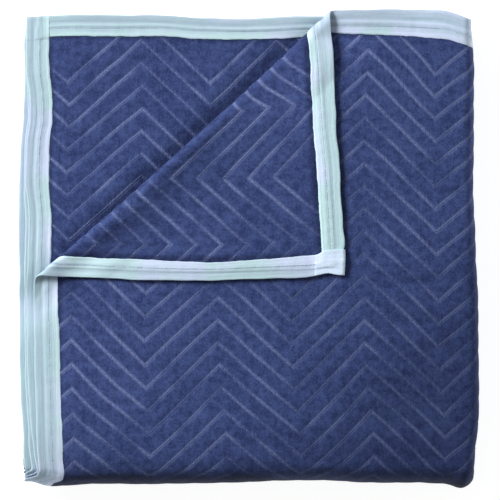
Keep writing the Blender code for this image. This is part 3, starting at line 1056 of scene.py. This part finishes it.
def bumped(tree, surface, *layers):  # height, distance and strength, the broadest first
    bump = {}
    for height, distance, strength in layers:
        bump.update({"Height": height, "Distance": distance, "Strength": strength})
        bump["Normal"] = addNode(tree, "ShaderNodeBump", bump).outputs[0]
    tree.links.new(bump["Normal"], surface.inputs["Normal"])


def dimmed(tree, colour, share, powers=(1.0, 1.0, 1.0)):
    shares = {k: sums(tree, "POWER", share, power) for k, power in enumerate(powers)}
    shade = addNode(tree, "ShaderNodeCombineColor", shares).outputs[0]
    return mixed(tree, 1.0, colour, shade, "MULTIPLY")


grainLook = {
    "roughness": 0.65,
    "softScale": 0.27,  # of the softer lint over the weave
    "softHeight": 0.60,
    "mottle": (0.45, 0.55),  # how much of the lint and of the weave shows as colour
}


def newGroup(name, given, result):  # a group's own places and values, by name and kind of socket
    group = bpy.data.node_groups.new(name, "ShaderNodeTree")
    for way, sockets in (("INPUT", given), ("OUTPUT", result)):
        for socket, kind in sockets.items():
            group.interface.new_socket(socket, in_out=way, socket_type="NodeSocket" + kind)
    return group, group.nodes.new("NodeGroupInput").outputs, group.nodes.new("NodeGroupOutput").inputs


def ofGroup(tree, group, *values):
    return addNode(tree, "ShaderNodeGroup", dict(enumerate(values)), node_tree=group).outputs


def clothGroup():  # lint, slubs and a fine uneven weave, shared by the pad and the tape
    sockets = {"Place": "Vector", "Grain": "Float"}, {"Height": "Float", "Mottle": "Float"}
    group, given, result = newGroup("clothGrain", *sockets)
    place, grain = given[:2]
    weave = noiseOf(group, place, grain, 3.0, grainLook["roughness"])
    lint = noiseOf(group, place, times(group, grain, grainLook["softScale"]), 2.0)
    lintShare, weaveShare = grainLook["mottle"]
    mottle = plus(group, times(group, lint, lintShare), weave, weaveShare)
    group.links.new(plus(group, weave, lint, grainLook["softHeight"]), result["Height"])
    group.links.new(mottle, result["Mottle"])
    return group


clothGrain = clothGroup()


threadLook = {
    "quilting": (0.140, 0.178, 0.355, 1),
    "quiltingDull": (0.078, 0.108, 0.255, 1),
    "tape": (0.480, 0.600, 0.720, 1),
    "tapeDull": (0.300, 0.390, 0.480, 1),
    "fuzz": (160.0, 0.6),  # fine differences along it: scale and amount
    "faint": (0.36, 0.60),  # its lines sink from sight here and there
    "faintScale": 23.0,
    "paintedLineShading": (-0.16, 0.08, 1.20, 0.90),  # painted light on it at the upper left, and painted shade at the middle and beyond
    "slant": (0.84, 1.04),  # painted shade on the lines that run up to the right, evening out how the key light catches them, and on those that run down to it
    "roughness": 0.85,
    "gloss": 0.20,
}
navy = {
    "light": (0.054, 0.084, 0.234, 1),
    "dark": (0.0205, 0.034, 0.120, 1),
    "grain": 520.0,
    "mottle": (0.38, 0.62),
    "broad": (24.0, 0.5),  # broader patches: scale and amount
    "paintedShadeHue": (1.0, 0.93, 0.84),  # where painted shade darkens it, it turns bluer: powers of the shade in each colour
    "faded": (0.124, 0.160, 0.336, 1),  # worn pale along the stitched lines
    "fadedHalf": 0.175,  # how far from a line, in line spacings
    "leastFaded": 0.30,
    "slant": (0.92, 1.02),  # how much of it on the lines that run up, and on those that run down: painted shade that evens out how the key light catches them
    "corner": (0.75, -0.66),  # the way to the lower right corner, where painted shade darkens it
    "paintedCornerShades": ((0.09, 0.27, 1.0, 0.62), (-0.26, -0.08, 0.84, 1.0)),  # painted shade at the lower right and at the upper left: from, to, shades there
    "paintedShadowBesideTape": (0.46, 0.0065),  # painted shadow beside the tape, and how far that reaches
    "rollBend": (0.14, 0.26, 0.0, 0.006),  # the crease bends a little, from and to along it
    "rollWaver": 0.016,
    # painted shade and painted highlight in bands beside the crease: soft edges across it, strength from
    # place to place along it, shade
    "paintedShadingBesideRoll": (
        ((-0.042, -0.028), (-0.015, -0.010), (0.100, 0.170, 1.0, 0.0), 0.66),  # below the roll
        ((-0.080, -0.050), (-0.016, -0.009), (0.170, 0.215, 0.0, 1.0), 1.26),  # by its upper end
        ((-0.013, -0.009), (-0.003, 0.000), (0.045, 0.100, 1.0, -0.7), 1.20),  # on it
        ((0.000, 0.0015), (0.004, 0.026), (-0.02, 0.03, 0.3, 1.0), 0.70),  # above it
    ),
    # painted shade where the top rounds over the lower fold: places down, and shades there
    "paintedShadeLowerFold": ((-0.2085, 1.0), (-0.2180, 0.76), (-0.2265, 0.62), (-0.2320, 0.26)),
    "foldWaver": 0.010,
    "foldPaler": (-0.02, 0.14, 0.0, 0.008),  # how much less far the painted shade reaches up on the right
    "gathers": (200.0, 0.85),  # along each stitched line, and across it
    "gathered": (0.02, 0.42, 1.0, 0.25),
    "gatherBump": (0.0012, 0.8),
    "clothBump": (0.0006, 0.7),
    "roughness": 0.88,
    "sheen": (0.06, 0.5),
    "gloss": 0.18,
}


def stepped(tree, value, rows):  # a chain of soft steps through rows of a place and a shade
    shade = 1.0
    for (upper, first), (lower, last) in zip(rows, rows[1:]):
        shade = times(tree, ranged(tree, value, lower, upper, last / first, 1.0), shade)
    return shade


def turnedBy(tree, spot, way):  # places along a line and beside it
    cos, sin = math.cos(way), math.sin(way)
    startX, startY = (place / 1000 for place in rollTroughs["place"])
    along = plus(tree, times(tree, spot[0], cos), spot[1], sin)
    beside = plus(tree, times(tree, spot[0], -sin), spot[1], cos)
    along = sums(tree, "ADD", along, -startX * cos - startY * sin)
    return along, sums(tree, "ADD", beside, startX * sin - startY * cos)


def paintedShadingBesideRoll(tree, spot, broad):  # painted shade in the hollows on both sides of the rolled crease, and a painted highlight on and by the roll
    along, beside = turnedBy(tree, spot, math.radians(rollTroughs["heading"]))
    beside = sums(tree, "SUBTRACT", beside, ranged(tree, along, *navy["rollBend"]))
    beside = mottled(tree, beside, broad, navy["rollWaver"])
    shade = 1.0
    for rise, fall, strength, deepest in navy["paintedShadingBesideRoll"]:
        band = times(tree, within(tree, beside, rise, fall), ranged(tree, along, *strength))
        shade = times(tree, plus(tree, 1.0, band, deepest - 1), shade)
    return shade


def towardsCorner(tree, spot):
    return plus(tree, times(tree, spot[1], navy["corner"][1]), spot[0], navy["corner"][0])


def stackGroup():  # painted shade and highlight over the whole folded stack, shared by the pad and its thread
    sockets = {"Place": "Vector"}, {"Shade": "Float", "Broad": "Float", "Line": "Float"}
    group, given, result = newGroup("paintedStackShading", *sockets)
    place = given[0]
    broad = noiseOf(group, place, navy["broad"][0], 2.0)
    spot = xyzOf(group, place)
    way = towardsCorner(group, spot)
    # painted shade towards the lower right and the upper left corners
    corners = [ranged(group, way, *shades) for shades in navy["paintedCornerShades"]]
    # painted shade along the lower fold, its edge wavering
    edgeY = mottled(group, spot[1], broad, navy["foldWaver"])
    edgeY = sums(group, "ADD", edgeY, ranged(group, spot[0], *navy["foldPaler"]))
    paintedFoldShade = stepped(group, edgeY, navy["paintedShadeLowerFold"])
    shade = times(group, *corners, paintedFoldShade, paintedShadingBesideRoll(group, spot, broad))
    group.links.new(shade, result["Shade"])
    group.links.new(broad, result["Broad"])
    # painted light on the stitched lines at the upper left, painted shade on them beyond
    group.links.new(ranged(group, way, *threadLook["paintedLineShading"]), result["Line"])
    return group


def faintGroup():  # where the stitched lines sink from sight, and how much is left of them there
    group, given, result = newGroup("faintLines", {"Place": "Vector", "Least": "Float"}, {"Shown": "Float"})
    place, least = given[:2]
    noise = noiseOf(group, place, threadLook["faintScale"], 1.0)
    group.links.new(ranged(group, noise, *threadLook["faint"], least), result["Shown"])
    return group


paintedStackShading, faintLines = stackGroup(), faintGroup()


def paintedShadowBesideTape(tree):  # a narrow painted shadow on the cloth along the tape
    flat = mapOf(tree, "cloth")
    shade, reach = navy["paintedShadowBesideTape"]
    bands = []
    for k, whole, width in ((0, "width", "sideWidth"), (1, "length", "endWidth")):
        away = sums(tree, "PINGPONG", flat[k], fold[whole] / 2)
        bands.append(ranged(tree, away, tape[width] - 0.001, tape[width] + reach, shade, 1.0))
    return sums(tree, "MINIMUM", *bands)


def navyMaterial():
    material, surface = newMaterial("navyQuilt")
    tree = material.node_tree
    turn, row = mapOf(tree, "quilting")[:2]
    fallen = times(tree, sums(tree, "PINGPONG", turn, 1.0), float(quilt["reach"]))
    level = sums(tree, "MAXIMUM", sums(tree, "SUBTRACT", row, fallen), quilt["firstLine"] - 0.5)
    offLine = sums(tree, "PINGPONG", level, 0.5)  # 0 on a stitched line, 0.5 midway
    place = placeOf(tree)
    height, mottle = ofGroup(tree, clothGrain, place, navy["grain"])
    stack = ofGroup(tree, paintedStackShading, place)
    shade = ranged(tree, mottle, *navy["mottle"], kind="LINEAR")
    shade = mottled(tree, shade, stack["Broad"], navy["broad"][1])
    colour = mixed(tree, shade, navy["dark"], navy["light"])
    farHalf = sums(tree, "GREATER_THAN", turn, quilt["turns"][-1] / 2)  # there they run the other way
    slant = sums(tree, "FRACT", times(tree, sums(tree, "ADD", turn, farHalf), 0.5))
    falls = sums(tree, "LESS_THAN", slant, 0.5)
    # the worn pale band along each line, with painted light at the upper left and painted shade by the way
    # the line runs
    rubbedAndPaintedLight = times(
        tree, ranged(tree, offLine, 0.0, navy["fadedHalf"], 1.0, 0.0),
        ofGroup(tree, faintLines, place, navy["leastFaded"])["Shown"], stack["Line"],
        ranged(tree, falls, 0.0, 1.0, *navy["slant"]),
    )
    colour = mixed(tree, rubbedAndPaintedLight, colour, navy["faded"])
    # painted shadow beside the tape and painted shade over the stack
    colour = dimmed(tree, colour, times(tree, paintedShadowBesideTape(tree), stack["Shade"]), navy["paintedShadeHue"])
    tree.links.new(colour, surface.inputs["Base Color"])
    along, across = navy["gathers"]
    gather = vectorOf(tree, times(tree, turn, lineInTurn * along), times(tree, level, across))
    gather = times(tree, noiseOf(tree, gather, 1.0, 1.5), ranged(tree, offLine, *navy["gathered"]))
    bumped(tree, surface, (gather, *navy["gatherBump"]), (height, *navy["clothBump"]))
    surface.inputs["Roughness"].default_value = navy["roughness"]
    surface.inputs["Sheen Weight"].default_value = navy["sheen"][0]
    surface.inputs["Sheen Roughness"].default_value = navy["sheen"][1]
    surface.inputs["Specular IOR Level"].default_value = navy["gloss"]
    return material


tapeLook = {
    "grey": (0.320, 0.435, 0.520, 1),
    "green": (0.490, 0.685, 0.710, 1),
    "blue": (0.600, 0.680, 0.880, 1),
    "bands": (  # how pale it is, from its outer to its inner edge: painted shade in its low parts and stitched groove, painted highlight on its raised inner part
        (0.05, 0.40), (0.14, 0.34), (0.26, 0.14), (0.38, 0.22), (0.44, 0.62), (0.50, 0.42),
        (0.58, 0.16), (0.66, 0.44), (0.74, 0.60), (0.86, 1.00), (0.97, 1.00),
    ),
    "bandEnds": (0.55, 0.45),
    "bandWander": (9.0, 0.30),  # scale and amount
    "ribs": (9.0, 14.0, 0.9),  # across it, along it and how plain
    "grain": 650.0,
    "mottle": 0.5,
    "patches": (15.0, 0.40, 0.60),  # bluer and greener: scale, and from where to where
    "turnedRight": (-0.195, -0.180),  # the turned corner lies from here to the right
    "turnedBelow": (0.222, 0.210),  # and from here down
    "turnedPaintedPale": 0.34,  # painted light: the turned corner's tape is paler and brighter than the rest
    "turnedPaintedLight": 0.03,
    "patch": (0.0280, 0.0262),  # its lapped end, along the tape
    "patchPaler": 0.40,  # paler still
    "patchBrighter": 0.06,
    "patchBluer": 0.70,
    "right": (0.058, 0.066),  # where its right side begins, which has painted light
    "rightPaintedLight": 0.17,
    "top": (0.210, 0.222),  # the upper edge, and its right end, which has painted light
    "topEnd": (0.110, 0.200),
    "topEndPaintedLight": 0.20,
    "paintedShadeUpperLeft": (0.20, 0.42, 1.0, 0.90),  # painted shade darkens the upper left
    "farSlope": -1.2,
    "greener": (-0.120, -0.102, 0.9, 0.0),  # the left end of the turned corner's lower tape
    "ribBump": (0.0008, 0.6),
    "clothBump": (0.0004, 0.6),
    "roughness": 0.80,
}


def tapeToneAndShading(tree, inward, ribs, mottle, place):  # bands of grey and paler along the tape: painted shade and highlight that follow its relief
    scale, amount = tapeLook["bandWander"]
    shifted = mottled(tree, inward, noiseOf(tree, place, scale, 1.0), amount)
    bands = addNode(tree, "ShaderNodeValToRGB", {0: shifted})
    marks = bands.color_ramp.elements
    for mark, value in zip(marks, tapeLook["bandEnds"]):
        mark.color = (value, value, value, 1)
    for position, value in tapeLook["bands"]:
        marks.new(position).color = (value, value, value, 1)
    toneAndShading = mottled(tree, bands.outputs[0], ribs, tapeLook["ribs"][2])
    return mottled(tree, toneAndShading, mottle, tapeLook["mottle"])


def tapeMaterial():
    material, surface = newMaterial("greyBlueTape")
    tree = material.node_tree
    side, run = mapOf(tree, "tape")[:2]
    inward = sums(tree, "PINGPONG", side, 1.0)
    across, along = tapeLook["ribs"][:2]
    ribs = noiseOf(tree, vectorOf(tree, times(tree, inward, across), times(tree, run, along)), 1.0, 3.0)
    place = placeOf(tree)
    height, mottle = ofGroup(tree, clothGrain, place, tapeLook["grain"])
    toneAndShading = tapeToneAndShading(tree, inward, ribs, mottle, place)
    x, y = xyzOf(tree, place)[:2]
    turned = times(
        tree, ranged(tree, side, 0.99, 1.01), ranged(tree, x, *tapeLook["turnedRight"]),
        ranged(tree, y, *tapeLook["turnedBelow"]),
    )
    lapped = times(tree, turned, ranged(tree, run, *tapeLook["patch"]))
    greener = times(tree, turned, ranged(tree, x, *tapeLook["greener"]))
    scale, begin, end = tapeLook["patches"]
    bluer = ranged(tree, noiseOf(tree, place, scale, 2.0), begin, end)
    bluer = times(tree, bluer, sums(tree, "SUBTRACT", 1.0, greener))
    bluer = sums(tree, "MAXIMUM", bluer, times(tree, lapped, tapeLook["patchBluer"]))
    toneAndShading = plus(tree, toneAndShading, turned, tapeLook["turnedPaintedPale"])
    toneAndShading = plus(tree, toneAndShading, lapped, tapeLook["patchPaler"])
    hue = mixed(tree, bluer, tapeLook["green"], tapeLook["blue"])
    colour = mixed(tree, toneAndShading, tapeLook["grey"], hue)
    rightPaintedLightMask = times(tree, turned, ranged(tree, x, *tapeLook["right"]))
    topEndPaintedLightMask = times(tree, ranged(tree, y, *tapeLook["top"]), ranged(tree, x, *tapeLook["topEnd"]))
    # painted light on the turned corner's tapes and the upper tape's right end; the lapped patch is
    # brighter as well
    brightnessAndPaintedLight = plus(tree, 1.0, turned, tapeLook["turnedPaintedLight"])
    brightnessAndPaintedLight = plus(tree, brightnessAndPaintedLight, lapped, tapeLook["patchBrighter"])
    brightnessAndPaintedLight = plus(tree, brightnessAndPaintedLight, rightPaintedLightMask, tapeLook["rightPaintedLight"])
    brightnessAndPaintedLight = plus(tree, brightnessAndPaintedLight, topEndPaintedLightMask, tapeLook["topEndPaintedLight"])
    paintedShadeUpperLeft = ranged(tree, plus(tree, y, x, tapeLook["farSlope"]), *tapeLook["paintedShadeUpperLeft"])
    colour = dimmed(tree, colour, times(tree, brightnessAndPaintedLight, paintedShadeUpperLeft))
    tree.links.new(colour, surface.inputs["Base Color"])
    bumped(tree, surface, (ribs, *tapeLook["ribBump"]), (height, *tapeLook["clothBump"]))
    surface.inputs["Roughness"].default_value = tapeLook["roughness"]
    return material


def threadMaterial(name, colour, dull, withPaintedShade):
    material, surface = newMaterial(name)
    tree = material.node_tree
    place = placeOf(tree)
    scale, amount = threadLook["fuzz"]
    shown = ofGroup(tree, faintLines, place, 0.0)["Shown"]
    share = mottled(tree, shown, noiseOf(tree, place, scale, 2.0), amount)
    thread = mixed(tree, share, threadLook[dull], threadLook[colour])
    if withPaintedShade:
        # painted shade over the stack, and by the way each line runs
        slant = ranged(tree, mapOf(tree, "falling")[0], 0.0, 1.0, *threadLook["slant"])
        stack = ofGroup(tree, paintedStackShading, place)
        shade = times(tree, stack["Shade"], stack["Line"], slant)
        thread = dimmed(tree, thread, shade, navy["paintedShadeHue"])
    tree.links.new(thread, surface.inputs["Base Color"])
    surface.inputs["Roughness"].default_value = threadLook["roughness"]
    surface.inputs["Specular IOR Level"].default_value = threadLook["gloss"]
    return material


pad.data.materials.append(navyMaterial())
quiltThread.data.materials.append(threadMaterial("paleThread", "quilting", "quiltingDull", True))
tapeThread.data.materials.append(threadMaterial("tapeThread", "tape", "tapeDull", False))
tapeCloth = tapeMaterial()
for piece in tapes.values():
    piece.data.materials.append(tapeCloth)
print("materials made", len(bpy.data.materials))

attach(pad, "root")
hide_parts("quilted_pad")
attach(quiltThread, "root")
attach(tapeThread, "root")
for node, piece in tapes.items():
    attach(piece, "root")
    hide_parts(node)

# Floor, camera and lights
studio = {
    "floorWide": 30,
    "floorUp": -0.0004,
    "floorColour": (0.40, 0.40, 0.40, 1),
    "floorGlow": (1.0, 1.0, 0.995, 1),  # a lit table, so shadows stay pale
    "floorGlowStrength": 0.90,
    "floorRoughness": 0.9,
    "viewWide": 0.50725,  # metres across the picture at the stack's top
    "cameraPlace": (0.0006, -0.0004, 7.0),
    "topUp": 0.055,
    "sensor": 36,
    "farthest": 50,
    "skyColour": (0.96, 0.98, 1.0, 1),
    "skyStrength": 0.25,
    "lights": (  # name, place, size, power
        ("keyLight", (-1.6, 1.05, 1.30), 0.9, 74),
        ("sideLight", (1.7, 0.25, 0.10), 0.25, 7),
    ),
}


def buildFloor():
    bpy.ops.mesh.primitive_plane_add(size=studio["floorWide"], location=(0, 0, studio["floorUp"]))
    floor = bpy.context.active_object
    floor.name = "floor"
    material, surface = newMaterial("paleFloor")
    surface.inputs["Base Color"].default_value = studio["floorColour"]
    surface.inputs["Emission Color"].default_value = studio["floorGlow"]
    surface.inputs["Emission Strength"].default_value = studio["floorGlowStrength"]
    surface.inputs["Roughness"].default_value = studio["floorRoughness"]
    floor.data.materials.append(material)


def buildCamera():
    camera = addObject("camera", bpy.data.cameras.new("camera"))
    camera.location = studio["cameraPlace"]
    toTop = studio["cameraPlace"][2] - studio["topUp"]
    camera.data.sensor_width = studio["sensor"]
    camera.data.lens = studio["sensor"] * toTop / studio["viewWide"]
    camera.data.clip_end = studio["farthest"]
    bpy.context.scene.camera = camera


def buildLights():
    world = bpy.data.worlds.new("world")
    world.use_nodes = True
    sky = world.node_tree.nodes["Background"]
    sky.inputs["Color"].default_value = studio["skyColour"]
    sky.inputs["Strength"].default_value = studio["skyStrength"]
    bpy.context.scene.world = world
    for name, place, size, power in studio["lights"]:
        light = addObject(name, bpy.data.lights.new(name, "AREA"))
        light.data.size = size
        light.data.energy = power
        light.location = place
        light.rotation_euler = (-Vector(place)).to_track_quat("-Z", "Y").to_euler()
    bpy.context.scene.view_settings.view_transform = "Standard"


buildFloor()
buildCamera()
buildLights()
print("studio set")
